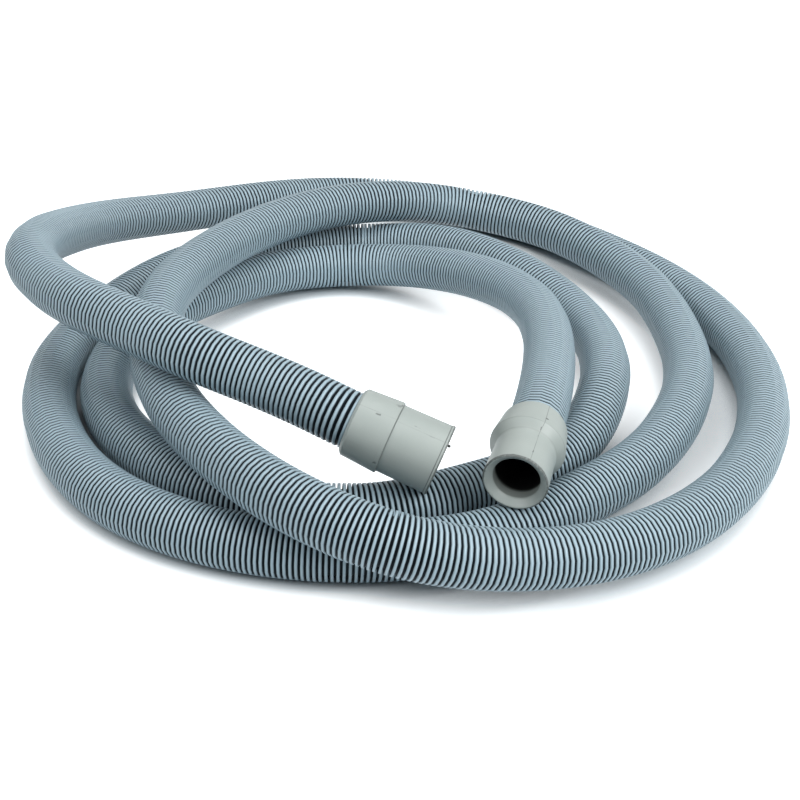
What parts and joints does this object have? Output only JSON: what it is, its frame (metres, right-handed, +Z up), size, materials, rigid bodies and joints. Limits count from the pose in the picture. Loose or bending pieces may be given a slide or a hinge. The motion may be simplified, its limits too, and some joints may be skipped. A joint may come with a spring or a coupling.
{
  "type": "corrugated drain hose",
  "caption": "Corrugated grey drain hose lying in a loose flat coil, with a straight moulded cuff on one end and a stepped one on the other.",
  "frame": {"origin": "on the floor under the middle of the coil's box", "axes": "+Z up, +Y from the side where both cuffs lie towards the far side of the coil, +X to the right seen from the cuffs' side"},
  "size_m": [0.3942, 0.4272, 0.0799],
  "materials": {
    "hose_plastic": "satin, corrugated",
    "cuff_rubber": "matt, moulded"
  },
  "bodies": {
    "root": {"hose": "hose_plastic", "wide_cuff": "cuff_rubber", "narrow_cuff": "cuff_rubber"}
  },
  "joints": []
}
